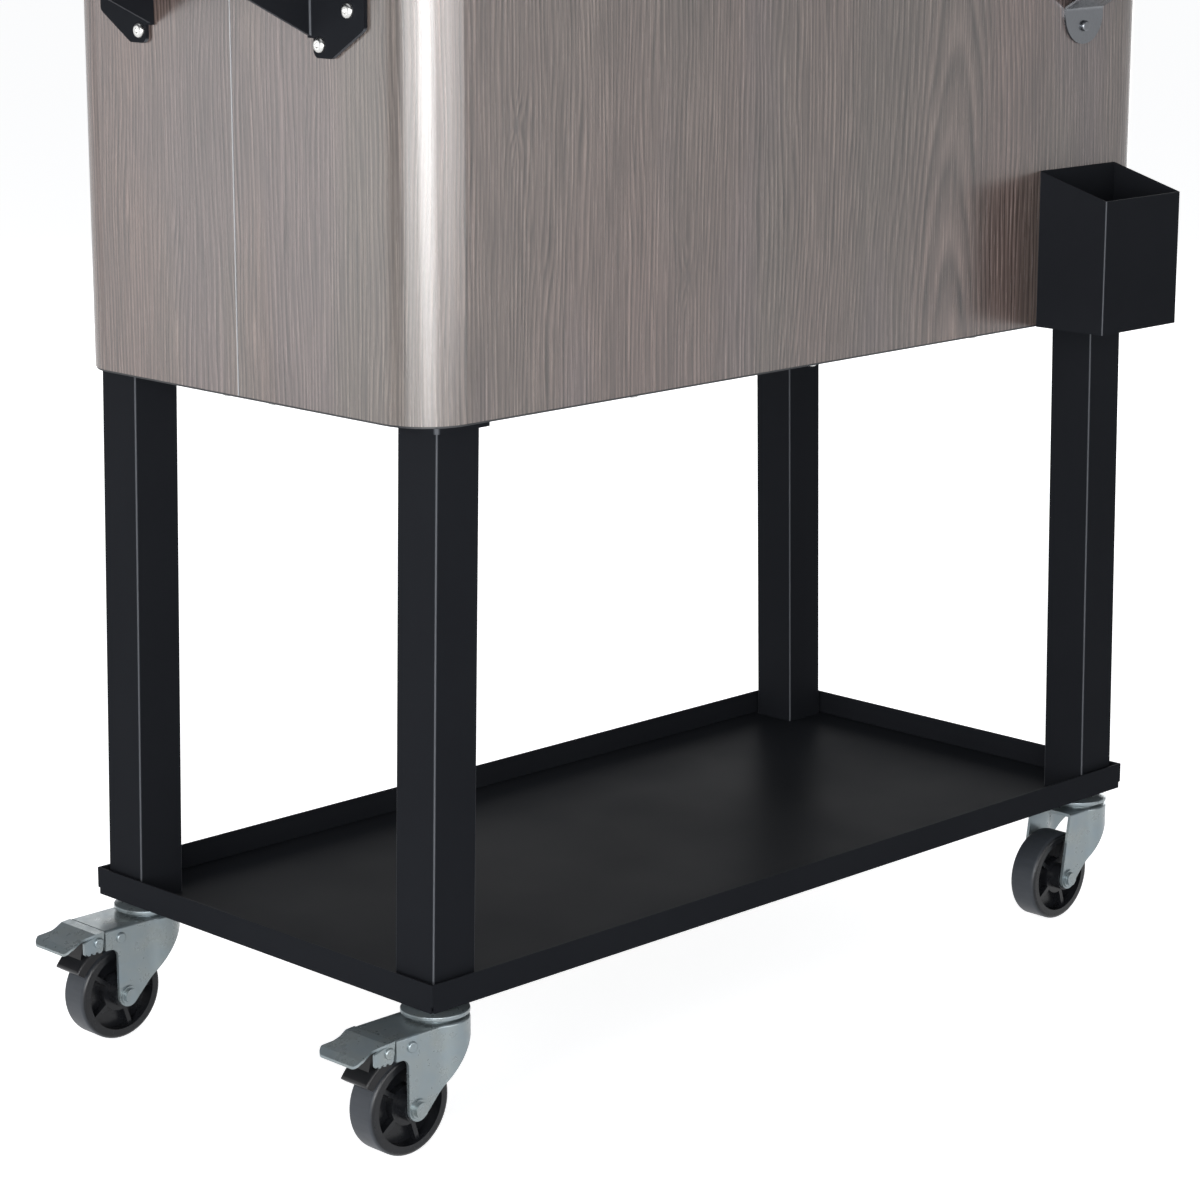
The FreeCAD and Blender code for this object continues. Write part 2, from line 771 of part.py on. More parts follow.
def handle_bracket():
    """Right-hand rear bracket: a slanted flange on the wall and an arm that tapers to the bar."""
    wall = half_length
    near = handle_half_span
    tip = near + bracket_relief
    wide = near + bracket_flange_width
    radius = bracket_corner_radius
    half = bracket_flange_half_height
    arm = bracket_arm_half_height
    upper = [(near - bracket_sheet, arm, 0), (tip, arm, 0), (tip, half, radius),
             (tip + bracket_tip_width, half, radius), (wide, half - bracket_slant, radius)]
    lower = [(y, -z, r) for y, z, r in reversed(upper)]
    flange_corners = [(y, handle_z + z, r) for y, z, r in upper + lower]
    flange = prism(flange_corners, in_yz(wall), X * bracket_sheet)

    reach = wall + handle_reach
    end = bracket_arm_end_radius
    # The arm's slanted edges run from the wall to tangents on the round end.
    distance = math.hypot(handle_reach, arm)
    slope = math.atan2(arm, handle_reach) - math.asin(end / distance)
    corner_z = arm - (handle_reach + end) * math.tan(slope)
    arm_corners = [(wall, handle_z - arm, 0), (reach + end, handle_z - corner_z, end),
                   (reach + end, handle_z + corner_z, end), (wall, handle_z + arm, 0)]
    arm_plate = prism(arm_corners, in_xz(near - bracket_sheet), Y * bracket_sheet)
    # The inside of the bend between flange and arm is rounded.
    bend = bracket_bend_radius
    face = wall + bracket_sheet
    axis = Vector(face + bend, near + bend, handle_z - arm)
    filler = slab(face, face + bend, near, near + bend, handle_z - arm, handle_z + arm)
    filler = filler.cut(rod(bend, axis, axis + Z * (2 * arm)))
    filler = filler.common(prism(arm_corners, in_xz(near), Y * bend))
    holes = [bolt_hole(*place) for place in handle_bolt_places() + bar_bolt_places()]
    return fuse_all([flange, arm_plate, filler]).cut(holes)


def handle_bar():
    """Right-hand bar: a tube with closed ends between the arms."""
    half = handle_half_span - bracket_sheet
    centre = Vector(half_length + handle_reach, 0, handle_z)
    bar = rod(handle_bar_radius, centre - Y * half, centre + Y * half)
    plug = bolt_length - bracket_sheet
    inside = half - plug - handle_bar_wall
    bore = rod(handle_bar_radius - handle_bar_wall, centre - Y * inside, centre + Y * inside)
    return bar.cut([bore] + [bolt_hole(*place) for place in bar_bolt_places()])


def build_handles():
    rear = handle_bracket()
    brackets = {"right_rear": rear, "right_front": mirrored_y(rear)}
    for end in ("rear", "front"):
        brackets[f"left_{end}"] = mirrored_x(brackets[f"right_{end}"])
    for place, bracket in brackets.items():
        save(f"handle_bracket_{place}", bracket)
    bar = handle_bar()
    save("handle_bar_right", bar)
    save("handle_bar_left", mirrored_x(bar))
    save("handle_bolts", *[button_bolt(*place) for place in handle_bolt_places() + bar_bolt_places()])


# Front fittings

def build_opener():
    """Stamped strip: a screw tab at each end and a bridge between them whose mouth lifts the cap."""
    wall = -half_width
    sheet = opener_sheet
    out = wall - opener_reach
    low = opener_z + opener_tab
    high = low + opener_bridge
    top = high + opener_tab
    half_sheet = sheet / 2
    bend = opener_bend_radius
    outer = [(wall, opener_z, 0), (wall - sheet, opener_z, 0), (wall - sheet, low, bend),
             (out, low + opener_bridge / 3, bend + sheet), (out, high, bend + sheet),
             (wall - sheet, high, bend), (wall - sheet, top, 0), (wall, top, 0),
             (wall, high - sheet, bend + half_sheet), (out + sheet, high - sheet, bend),
             (out + sheet, low + opener_bridge / 3 + half_sheet, bend),
             (wall, low + half_sheet, bend + half_sheet)]
    strip = prism(outer, in_yz(opener_x - opener_width / 2), X * opener_width)
    left, right = opener_x - opener_width / 2, opener_x + opener_width / 2
    low_radius = opener_width / 2 - fit_gap
    face = [(left, opener_z, low_radius), (right, opener_z, low_radius),
            (right, top, opener_top_radius), (left, top, opener_top_radius)]
    strip = strip.common(prism(face, in_xz(out - sheet), Y * (opener_reach + 2 * sheet)))
    mouth_low = low + opener_bridge / 2
    mouth = prism(rectangle(opener_x - opener_mouth_width / 2, opener_x + opener_mouth_width / 2, mouth_low,
                            mouth_low + opener_mouth_height, opener_mouth_height / 3),
                  in_xz(out - sheet), Y * (2 * sheet + fit_gap))
    return strip.cut([mouth] + [screw_hole(*place) for place in opener_screw_places()])


def build_catcher():
    """Folded box, open at the top, whose rim slants down to the front."""
    wall = -half_width
    front = wall - catcher_depth
    front_top = body_bottom + catcher_front_height
    back_top = body_bottom + catcher_back_height
    x0 = opener_x - catcher_width / 2
    side = [(wall, body_bottom, 0), (front, body_bottom, 0), (front, front_top, 0), (wall, back_top, 0)]
    folds = slab(x0, x0 + catcher_width, front, wall, body_bottom, back_top, catcher_bend_radius)
    box = prism(side, in_yz(x0), X * catcher_width).common(folds)
    inside = slab(x0 + catcher_sheet, x0 + catcher_width - catcher_sheet, front + catcher_sheet,
                  wall - catcher_sheet, body_bottom + catcher_sheet, back_top)
    return box.cut([inside] + [screw_hole(*place) for place in catcher_screw_places()])


def build_front_fittings():
    save("bottle_opener", build_opener())
    save("cap_catcher", build_catcher())
    save("front_screws", *[pan_screw(*place) for place in opener_screw_places() + catcher_screw_places()])


# Drain

def build_drain():
    axis = Vector(drain_x, drain_y, 0)
    pipe_low = body_bottom - drain_drop
    seal_top = liner_floor + drain_seal
    pipe = rod(drain_pipe_radius, axis + Z * pipe_low, axis + Z * seal_top)
    flange = rod(drain_flange_radius, axis + Z * seal_top, axis + Z * (seal_top + drain_flange))
    bore = rod(drain_bore_radius, axis + Z * pipe_low, axis + Z * (seal_top + drain_flange))
    save("drain_fitting", fuse_all([pipe, flange]).cut(bore))

    seal = rod(drain_flange_radius, axis + Z * liner_floor, axis + Z * seal_top)
    save("drain_seal", seal.cut(rod(drain_pipe_radius + fit_gap, axis + Z * liner_floor, axis + Z * seal_top)))

    nut_bottom = axis + Z * (body_bottom - drain_nut_height)
    nut = hexagon(drain_nut_flats, nut_bottom, drain_nut_height, Z)
    save("drain_nut", nut.cut(rod(drain_pipe_radius + fit_gap, nut_bottom, axis + Z * body_bottom)))

    cap_low = axis + Z * (pipe_low - drain_cap_wall - moving_gap)
    cap_top = cap_low + Z * drain_cap_height
    cap = rod(drain_cap_radius, cap_low, cap_top)
    bore = rod(drain_pipe_radius + moving_gap, cap_low + Z * drain_cap_wall, cap_top)
    grips = []
    for index in range(drain_cap_grips):
        angle = math.radians(index * 360 / drain_cap_grips)
        offset = Vector(math.cos(angle), math.sin(angle), 0) * (drain_cap_radius + drain_cap_grip_radius / 2)
        grips.append(rod(drain_cap_grip_radius, cap_low + offset, cap_top + offset))
    save("drain_cap", cap.cut([bore] + grips))


# Casters, drawn about the swivel axis with the wheel trailing towards -X

def fork_region(inset, tail, z0, z1):
    """Plan of the fork: round under the race, fairing in to two parallel cheeks that run back to the tail."""
    radius = fork_crown_radius - inset
    cheek = fork_half_outer - inset
    fairing = fork_fairing_radius + inset
    start = math.sqrt((radius + fairing) ** 2 - (cheek + fairing) ** 2)
    towards = Vector(start, cheek + fairing, 0).normalize()
    touch = towards * radius
    middle = (Vector(0, -1, 0) - towards).normalize() * fairing + Vector(start, cheek + fairing, 0)

    def point(u, v):
        return Vector(-u, v, z0)

    edges = [Part.LineSegment(point(tail, cheek), point(start, cheek)).toShape(),
             Part.Arc(point(start, cheek), point(middle.x, middle.y), point(touch.x, touch.y)).toShape(),
             Part.Arc(point(touch.x, touch.y), point(-radius, 0), point(touch.x, -touch.y)).toShape(),
             Part.Arc(point(touch.x, -touch.y), point(middle.x, -middle.y), point(start, -cheek)).toShape(),
             Part.LineSegment(point(start, -cheek), point(tail, -cheek)).toShape(),
             Part.LineSegment(point(tail, -cheek), point(tail, cheek)).toShape()]
    return Part.Face(Part.Wire(edges)).extrude(Z * (z1 - z0))


def end_corner(ahead, above):
    """Corner where two tangents to the fork's round end meet: one from the knee, one down its trailing edge."""
    lines = []
    for (trail, height), turn in ((ahead, -1), (above, 1)):
        run = axle_trail - trail
        rise = wheel_radius - height
        angle = math.atan2(rise, run) + turn * math.asin(fork_end_radius / math.hypot(run, rise))
        lines.append((trail, height, math.cos(angle), math.sin(angle)))
    (t0, z0, dt0, dz0), (t1, z1, dt1, dz1) = lines
    along = ((t1 - t0) * dz1 - (z1 - z0) * dt1) / (dt0 * dz1 - dz0 * dt1)
    return t0 + along * dt0, z0 + along * dz0, fork_end_radius


def fork_side_corners(braked):
    """Side view of the fork as (trail, height, radius) corners."""
    front = -fork_crown_radius - fit_gap
    back = axle_trail + fork_end_radius
    knee = (-fork_knee_ahead, crown_top - fork_knee_drop)
    arch = crown_top - brake_arch_drop
    head = [(front, crown_top, 0), (front, crown_top - fork_front_drop, 0), (*knee, fork_knee_radius)]
    if braked:
        return head + [end_corner(knee, (back, arch)), (back, arch, brake_arch_radius), (brake_tail, arch, 0),
                       (brake_tail, crown_top, 0)]
    return head + [end_corner(knee, (axle_trail, crown_top)), (axle_trail, crown_top, 0)]


def build_fork(braked):
    """Bent-sheet fork: a crown with a raised race seat, and two cheeks cut to the side view."""
    tail = brake_tail if braked else axle_trail + fork_end_radius
    body = fork_region(0, tail, 0, crown_top)
    round_edges = [edge for edge in edges_at(body, crown_top) if edge.BoundBox.XMin > -tail + fit_gap
                   or edge.BoundBox.YLength < fit_gap]
    body = body.makeFillet(fork_crown_edge_radius, round_edges)
    hollow = fork_region(fork_sheet, tail + fork_sheet, 0, crown_bottom)
    side = prism(fork_side_corners(braked), behind(-fork_crown_radius - fit_gap),
                 Y * (2 * (fork_crown_radius + fit_gap)))
    boss = rod(fork_boss_radius, Z * crown_bottom, Z * (crown_top + fork_boss))
    boss = boss.makeFillet(fork_boss / 2, edges_at(boss, crown_top + fork_boss))
    fork = fuse_all([body.cut(hollow).common(side), boss])
    holes = [rod(kingpin_radius + running_gap, Z * crown_bottom, Z * (crown_top + fork_boss)),
             cross_rod(axle_radius + running_gap, axle_trail, wheel_radius, fork_half_outer)]
    if braked:
        holes.append(cross_rod(brake_pin_radius + running_gap, brake_pin_trail, brake_pin_z, fork_half_outer))
    return fork.cut(holes)


def cross_rod(radius, trail, height, half_length_y):
    start = Vector(-trail, -half_length_y, height)
    return rod(radius, start, start + Y * (2 * half_length_y))


def build_wheel():
    """Moulded wheel: rounded tread, deep dished sides, spokes on both sides of a thin web, ring and hub."""
    centre = Vector(-axle_trail, 0, wheel_radius)
    half = wheel_width / 2
    tread = rod(wheel_radius, centre - Y * half, centre + Y * half)
    tread = tread.makeFillet(wheel_edge_radius, [edge for edge in tread.Edges if edge.Closed])
    rim_inside = wheel_radius - wheel_rim
    dish = rod(rim_inside, centre - Y * half, centre + Y * half)
    web = rod(rim_inside + fit_gap, centre - Y * (wheel_web / 2), centre + Y * (wheel_web / 2))
    hub = rod(wheel_hub_radius, centre - Y * (wheel_hub_width / 2), centre + Y * (wheel_hub_width / 2))
    spoke_half = half - wheel_spoke_setback
    ring = rod(wheel_ring_radius, centre - Y * spoke_half, centre + Y * spoke_half)
    pieces = [tread.cut(dish), web, ring, hub]
    for index in range(wheel_spokes):
        spoke = slab(0, rim_inside + fit_gap, -spoke_half, spoke_half, -wheel_spoke_thickness / 2,
                     wheel_spoke_thickness / 2)
        spoke.rotate(Vector(0, 0, 0), Y, index * 360 / wheel_spokes)
        pieces.append(spoke.translated(centre))
    return fuse_all(pieces).cut(cross_rod(axle_radius + running_gap, axle_trail, wheel_radius, wheel_hub_width))


def build_axle(braked):
    """Axle bolt and nut, and on a braked caster the riveted pin that the pedal turns on."""
    near = Vector(-axle_trail, -fork_half_outer, wheel_radius)
    far = Vector(-axle_trail, fork_half_outer, wheel_radius)
    flange = rod(axle_head_radius, near, near - Y * axle_head_flange)
    dome = rod(axle_dome_radius, near, near - Y * (axle_head_flange + axle_dome))
    shank = rod(axle_radius, near, far + Y * axle_nut_height)
    nut = hexagon(axle_nut_flats, far, axle_nut_height, Y)
    nut = nut.cut(rod(axle_radius + running_gap, far, far + Y * axle_nut_height))
    pieces = [fuse_all([flange, dome, shank]), nut]
    if braked:
        pieces.append(riveted_bar(brake_pin_radius, brake_pin_trail, brake_pin_z))
    return pieces


def riveted_bar(radius, trail, height):
    """Cross pin as wide as the fork, with a domed head on each end."""
    heads = []
    for side in (-1, 1):
        seat = Vector(-trail, side * fork_half_outer, height)
        head = rod(rivet_head_radius, seat, seat + Y * (side * rivet_head))
        outer = [edge for edge in head.Edges
                 if edge.Closed and abs(edge.CenterOfMass.y) > fork_half_outer + rivet_head / 2]
        heads.append(head.makeFillet(rivet_head * head_dome_share, outer))
    return fuse_all([cross_rod(radius, trail, height, fork_half_outer)] + heads)


def build_pedal():
    """Stamped lever: a strip that dips to a flared tip, flanges in line with the fork, two arms to the pin."""
    front = brake_tail + pedal_gap
    level_end = front + pedal_level_length
    flange_end = front + pedal_flange_length
    roll_start = pedal_tip_trail - pedal_roll_length
    shelf_start = roll_start - pedal_shelf_length
    level_z = crown_top - pedal_level_fall
    slope_z = level_z - pedal_slope_fall
    shelf_z = slope_z - pedal_shelf_fall
    path = [(front, crown_top), (level_end, level_z), (shelf_start, slope_z), (roll_start, shelf_z),
            (pedal_tip_trail, shelf_z - pedal_roll_fall)]
    lower = [(u, v - pedal_sheet) for u, v in reversed(path)]
    strip = prism([(u, v, 0) for u, v in path + lower], behind(-fork_half_outer), Y * (2 * fork_half_outer))
    neck = pedal_neck_width / 2
    wide = pedal_tip_width / 2
    half_plan = [(front, fork_half_outer, 0), (level_end, fork_half_outer, pedal_neck_radius),
                 (flange_end, neck, pedal_neck_radius), (pedal_tip_trail - pedal_corner_radius, wide, 0),
                 (pedal_tip_trail, wide, pedal_corner_radius)]
    plan = half_plan + [(u, -v, r) for u, v, r in reversed(half_plan)]
    plate = prism([(-u, v, r) for u, v, r in plan], in_xy(0), Z * (crown_top + pedal_sheet))
    pieces = [strip.common(plate)]

    low = crown_top - pedal_flange_drop
    under = crown_top - pedal_sheet
    flange = [(front, level_z, 0), (front + 2 * pedal_gap, low, pedal_flange_radius),
              (flange_end, low, pedal_flange_radius), (flange_end, slope_z - pedal_sheet / 2, 0)]
    arm_top = brake_pin_z + pedal_arm_radius
    arm_low = brake_pin_z - pedal_arm_radius
    arm_front = brake_pin_trail - pedal_arm_radius
    arm = [(level_end, under, 0), (front, under, 0), (front - pedal_gap, arm_top, 0),
           (arm_front, arm_top, pedal_arm_radius), (arm_front, arm_low, pedal_arm_radius),
           (level_end, arm_low, pedal_flange_radius)]
    arm_half = fork_half_inner - moving_gap
    for side in (-1, 1):
        sheet = Y * (side * -pedal_sheet)
        pieces.append(prism(flange, behind(side * fork_half_outer), sheet))
        pieces.append(prism(arm, behind(side * arm_half), sheet))
    pieces.append(riveted_bar(shoe_rivet_radius, shoe_rivet_trail, crown_top - shoe_rivet_drop))
    cuts = [cross_rod(brake_pin_radius + running_gap, brake_pin_trail, brake_pin_z, arm_half)]
    for index in range(pedal_teeth):
        trail = front + pedal_flange_length * (index + 1.5) / (pedal_teeth + 1)
        cuts.append(cross_rod(pedal_tooth_radius, trail, low, fork_half_outer))
    return fuse_all(pieces).cut(cuts)


def build_shoe():
    """Brake block drawn against the tread, swung back to rest, with a neck and lug up to the pedal's rivet."""
    centre = Vector(-axle_trail, 0, wheel_radius)
    inner = wheel_radius + shoe_contact_gap
    outer = inner + shoe_thickness
    middle = (shoe_low_angle + shoe_high_angle) / 2
    half = shoe_width / 2

    def on_ring(radius, degrees):
        angle = math.radians(degrees)
        return centre + Vector(-radius * math.cos(angle), -half, radius * math.sin(angle))

    edges = [Part.Arc(*[on_ring(inner, a) for a in (shoe_low_angle, middle, shoe_high_angle)]).toShape(),
             Part.LineSegment(on_ring(inner, shoe_high_angle), on_ring(outer, shoe_high_angle)).toShape(),
             Part.Arc(*[on_ring(outer, a) for a in (shoe_high_angle, middle, shoe_low_angle)]).toShape(),
             Part.LineSegment(on_ring(outer, shoe_low_angle), on_ring(inner, shoe_low_angle)).toShape()]
    block = Part.Face(Part.Wire(edges)).extrude(Y * (2 * half))
    back_face = max(block.Faces, key=lambda face: face.Area)
    block = block.makeFillet(shoe_edge_radius, back_face.Edges)
    pivot = Vector(-brake_pin_trail, 0, brake_pin_z)
    block.rotate(pivot, Y, brake_travel)

    rivet_z = crown_top - shoe_rivet_drop
    rivet = Vector(-shoe_rivet_trail, 0, rivet_z)
    anchor = on_ring((inner + outer) / 2, middle) + Y * half
    anchor = FreeCAD.Rotation(Y, brake_travel).multVec(anchor - pivot) + pivot
    neck = slab(0, anchor.distanceToPoint(rivet), -shoe_neck_width / 2, shoe_neck_width / 2,
                -shoe_lug_radius, shoe_lug_radius)
    neck.Placement = FreeCAD.Placement(rivet, FreeCAD.Rotation(X, anchor - rivet))
    lug = cross_rod(shoe_lug_radius, shoe_rivet_trail, rivet_z, shoe_neck_width / 2)
    clearance = rod(inner, centre - Y * half, centre + Y * half)
    clearance.rotate(pivot, Y, brake_travel)
    shoe = fuse_all([block, lug, neck]).cut(clearance)
    return shoe.cut(cross_rod(shoe_rivet_radius + running_gap, shoe_rivet_trail, rivet_z, half))


def build_stem():
    """Threaded stem, hexagonal collar and riveted kingpin in one piece."""
    top = shelf_level + stem_engagement
    collar_bottom = caster_height - stem_collar
    head_top = crown_bottom - moving_gap
    return fuse_all([rod(stem_radius, Z * collar_bottom, Z * top),
                     hexagon(stem_collar_flats, Z * collar_bottom, stem_collar, Z),
                     rod(kingpin_radius, Z * head_top, Z * collar_bottom),
                     rod(kingpin_head_radius, Z * (head_top - kingpin_head), Z * head_top)])


def build_race():
    """Upper swivel race: a dished disc that slopes down to a rolled lip."""
    top = caster_height - stem_collar
    bottom = top - race_height
    inner = kingpin_radius + fit_gap
    return revolved([(inner, top - race_sheet, 0), (race_radius - race_lip, top - race_sheet, 0),
                     (race_radius - race_lip, bottom, 0), (race_radius, bottom, race_sheet / 2),
                     (race_radius, top - race_slope, race_sheet / 2),
                     (race_shoulder_radius, top, race_edge_radius), (inner, top, 0)])


def build_bearing():
    """Ring of the swivel bearing between the fork's crown and the race."""
    upper = caster_height - stem_collar - race_sheet
    lower = crown_top + fork_boss
    radius = (upper - lower) / 2 - moving_gap
    return Part.makeTorus(ball_track_radius, radius, Vector(0, 0, (upper + lower) / 2), Z)


def build_casters():
    corners = {"front_left": Vector(-foot_x, -leg_y, 0), "front_right": Vector(foot_x, -leg_y, 0),
               "rear_left": Vector(-foot_x, leg_y, 0), "rear_right": Vector(foot_x, leg_y, 0)}
    places = corners.values()
    save("caster_stems", *[build_stem().translated(place) for place in places])
    save("caster_races", *[build_race().translated(place) for place in places])
    save("swivel_bearings", *[build_bearing().translated(place) for place in places])
    wheel = build_wheel()
    for name, place in corners.items():
        braked = name.endswith("left")
        save(f"caster_fork_{name}", build_fork(braked).translated(place))
        save(f"caster_wheel_{name}", wheel.translated(place))
        save(f"caster_axle_{name}", *[piece.translated(place) for piece in build_axle(braked)])
        if braked:
            save(f"brake_pedal_{name}", build_pedal().translated(place))
            save(f"brake_shoe_{name}", build_shoe().translated(place))


os.makedirs("parts", exist_ok=True)
build_body()
build_rim_and_beam()
build_lids()
build_stand()
build_handles()
build_front_fittings()
build_drain()
build_casters()
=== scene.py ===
import json
import math

import bpy
from mathutils import Matrix, Vector


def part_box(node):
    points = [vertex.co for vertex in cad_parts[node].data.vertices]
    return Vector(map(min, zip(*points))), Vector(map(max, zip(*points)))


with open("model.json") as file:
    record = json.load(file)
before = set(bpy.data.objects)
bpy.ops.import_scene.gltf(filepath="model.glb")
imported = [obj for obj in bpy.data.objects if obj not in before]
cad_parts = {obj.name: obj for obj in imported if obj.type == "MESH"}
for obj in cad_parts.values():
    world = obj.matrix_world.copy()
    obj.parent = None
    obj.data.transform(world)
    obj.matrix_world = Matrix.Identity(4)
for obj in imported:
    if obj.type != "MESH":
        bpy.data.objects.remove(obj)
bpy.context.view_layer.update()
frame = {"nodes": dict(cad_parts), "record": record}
UP = Vector((0, 0, 1))

# Camera of the photograph: its place in metres, its angles in degrees and its focal length in photo pixels
PHOTO_WIDTH = 1200
CAMERA_PLACE = Vector((-1.928448, -1.8524, 0.943756))
CAMERA_AZIMUTH = -45.058
CAMERA_PITCH = 13.358
CAMERA_ROLL = 0.051
FOCAL_PIXELS = 3468.997
SENSOR_WIDTH = 36.0

# Studio: a pale floor that glows to the camera and in reflections, and a sky that is white at the horizon and
# turns grey between two rises of the direction looked in, which is 0 at the horizon and 1 overhead
FLOOR_SIZE = 60.0
FLOOR_COLOUR = (0.86, 0.86, 0.86, 1)
FLOOR_GLOW = 0.84
GLOW_COLOUR = (1, 1, 1, 1)
HORIZON_COLOUR = (1.0, 1.0, 1.0, 1)
SKY_COLOUR = (0.13, 0.137, 0.147, 1)
SKY_START = 0.02
SKY_FULL = 0.22

# Key light: strips side by side that dim outwards, so that its edges are soft. Each has its middle's distance
# aside, its width and its radiance. It gives diffuse light alone.
KEY_PLACE = Vector((-2.15, -2.18, 0.82))
KEY_TARGET = Vector((-0.40, -0.16, 0.80))
KEY_HEIGHT = 1.25
KEY_STRIPS = ((-1.00, 0.4, 0.8), (-0.65, 0.3, 2.1), (0.1, 1.2, 4.9), (0.85, 0.3, 2.8), (1.25, 0.5, 1.4))
KEY_COLOUR = (0.96, 0.985, 1.03)

# Gleam: lamps that are seen in reflections alone. Strips just in front of the key's stand for it there, and
# are brighter by a gain. Panels stand on a circle round the near corner, and each has its angle in degrees
# from +X, its width and its radiance.
KEY_GLEAM = 2.8
GLEAM_GAP = 0.02
GLEAM_CENTRE = Vector((-0.40, -0.19, 0.80))
GLEAM_DISTANCE = 2.8
GLEAM_PANELS = ((-87.5, 1.21, 5.5), (-64.0, 1.10, 3.6))

# Other lamps, which face the middle of the cart. Each has its place, its width and height, and its radiance.
LAMP_TARGET = Vector((0.0, 0.032, 0.6))
LAMPS = (
    ("end light", Vector((-2.60, 1.90, 0.90)), (1.6, 1.7), 1.2),
    ("left light", Vector((-3.10, -1.00, 1.0)), (1.0, 1.8), 5.6),
    ("right light", Vector((3.20, 0.80, 1.0)), (1.0, 1.8), 3.4),
    ("back light", Vector((3.0, 3.0, 1.5)), (3.8, 1.8), 1.7),
    ("top light", Vector((0.0, 0.0, 3.0)), (3.0, 3.0), 0.9),
)

# Noise: its middle, the range that holds most of its values, and the weight of its finer octaves. A scale is
# in cells to a metre, and a grain is a scale along X, Y and Z.
NOISE_MIDDLE = 0.5
MOST_NOISE = (0.3, 0.7)
NOISE_ROUGHNESS = 0.55

# Ranges that others are brought to
WHOLE = (0.0, 1.0)
FALLING = (1.0, 0.0)

# Colour sockets of the Mix node
MIX_FIRST = 6
MIX_SECOND = 7
MIX_RESULT = 2

# In all materials, a bump is a depth in metres and a strength, and a shine is the shader's specular level

# Wood print: the rings of a log whose heart leans away behind the board. Each knot has its place along the
# sheet and its height.
RING_SPACING = 0.0043
RING_OVERTONE = 0.35
RING_CONTRAST = 0.60
RING_WAVES = (((9.0, 1.0, 2.2), 0.045), ((48.0, 1.0, 5.0), 0.0090), ((150.0, 1.0, 9.0), 0.0040))
RING_FADE_GRAIN = (120.0, 1.0, 4.0)
RING_FADE = (0.1, 1.0)
HEART_X = 0.145
HEART_LOW = -0.35
HEART_LEAN = 0.055
KNOTS = ((-0.3134, 0.7161), (-0.1459, 0.5968))
KNOT_WIDTH = 0.009
KNOT_HEIGHT = 0.016
KNOT_PUSH = 0.0055
KNOT_CORE_RANGE = (0.80, 0.95)
KNOT_CORE = (0.0, 0.45)
FIBRE_GRAIN = (520.0, 1.0, 12.0)
FIBRE_ROUGHNESS = 0.65
FIBRE_RANGE = (0.25, 0.75)
FIBRE_LEVELS = (0.34, 1.66)
PORE_GRAIN = (620.0, 1.0, 30.0)
PORE_RANGE = (0.61, 0.72)
PORE_STRENGTH = 0.4
SHADE_GRAIN = (30.0, 1.0, 1.5)
SHADE_LEVELS = (0.86, 1.14)
GREEN_GRAIN = (6.0, 1.0, 1.4)
GREEN_RANGE = (0.36, 0.64)
VIOLET_GRAIN = (10.4, 1.3, 2.34)
VIOLET_RANGE = (0.50, 0.66)
VIOLET_SHARE = (0.0, 0.8)
WOOD_BROWN = (0.150, 0.107, 0.094, 1)
WOOD_GREEN = (0.127, 0.103, 0.089, 1)
WOOD_VIOLET = (0.132, 0.101, 0.097, 1)
WOOD_PORE = (0.068, 0.054, 0.050, 1)
WOOD_ROUGHNESS = (0.21, 0.30)
WOOD_SHINE = 1.0
WOOD_BUMP = (0.00006, 0.4)
RING_RELIEF = 0.35
FIBRE_RELIEF = 1.2
PORE_RELIEF = 0.6
REAR_OFFSET = 1.37

# Seam between the wraps: the pale edge of the rear sheet, which fades out between these distances from it
SEAM_COLOUR = (0.44, 0.44, 0.45, 1)
SEAM_FADE = (0.00096, 0.0012)

# Black coat: satin on lids and bars, dull on the folded pieces, where a painted highlight makes it paler on
# the bends. A bend is full where the largest part of the normal is at the first value of its range, and ends
# at the second.
COAT_DARK = (0.0143, 0.0154, 0.0184, 1)
COAT_LIGHT = (0.0205, 0.0220, 0.0255, 1)
COAT_CLOUD_SCALE = 7.0
COAT_PEEL_SCALE = 950.0
COAT_GRIT_SCALE = 2600.0
COAT_GRIT_RANGE = (0.35, 0.65)
COAT_ROUGHNESS = (0.36, 0.46)
COAT_GRIT = (-0.03, 0.03)
COAT_BUMP = (0.00006, 0.35)
SATIN_SHINE = 0.35
DULL_SHINE = 0.006
FOLDED_PIECES = ("leg_front", "leg_rear", "handle_bracket", "cap_catcher", "shelf_tray")
# Painted highlight: the paler colour that bends and rounded edges of the folded pieces get in place of the
# light they catch
EDGE_HIGHLIGHT_COLOUR = (0.130, 0.136, 0.148, 1)
BEND_RANGE = (0.82, 0.96)

# Zinc plate
ZINC_GREY = (0.248, 0.279, 0.281, 1)
ZINC_BLUE = (0.221, 0.266, 0.290, 1)
ZINC_STAIN = (0.228, 0.250, 0.242, 1)
ZINC_CLOUD_SCALE = 45.0
ZINC_CLOUD_RANGE = (0.35, 0.65)
ZINC_STAIN_SCALE = 160.0
ZINC_STAIN_RANGE = (0.55, 0.75)
ZINC_STAIN_SHARE = (0.0, 0.35)
ZINC_SCRATCH_GRAIN = (300.0, 300.0, 2600.0)
ZINC_ROUGHNESS = (0.24, 0.36)
ZINC_STAIN_ROUGHNESS = (-0.04, 0.05)
ZINC_METAL = 0.55
ZINC_BUMP = (0.00002, 0.35)

# Bright steel: its brushed or turned grain and its tint
STAINLESS = {"grain": (3000.0, 300.0, 120.0), "tint": (0.145, 0.152, 0.163, 1)}
BRIGHT_FASTENERS = {"grain": (900.0, 900.0, 900.0), "tint": (0.52, 0.52, 0.51, 1)}
STEEL_CLOUD_SCALE = 60.0
STEEL_PALER = 1.12
STEEL_ROUGHNESS = (0.20, 0.36)
STEEL_BUMP = (0.00002, 0.4)

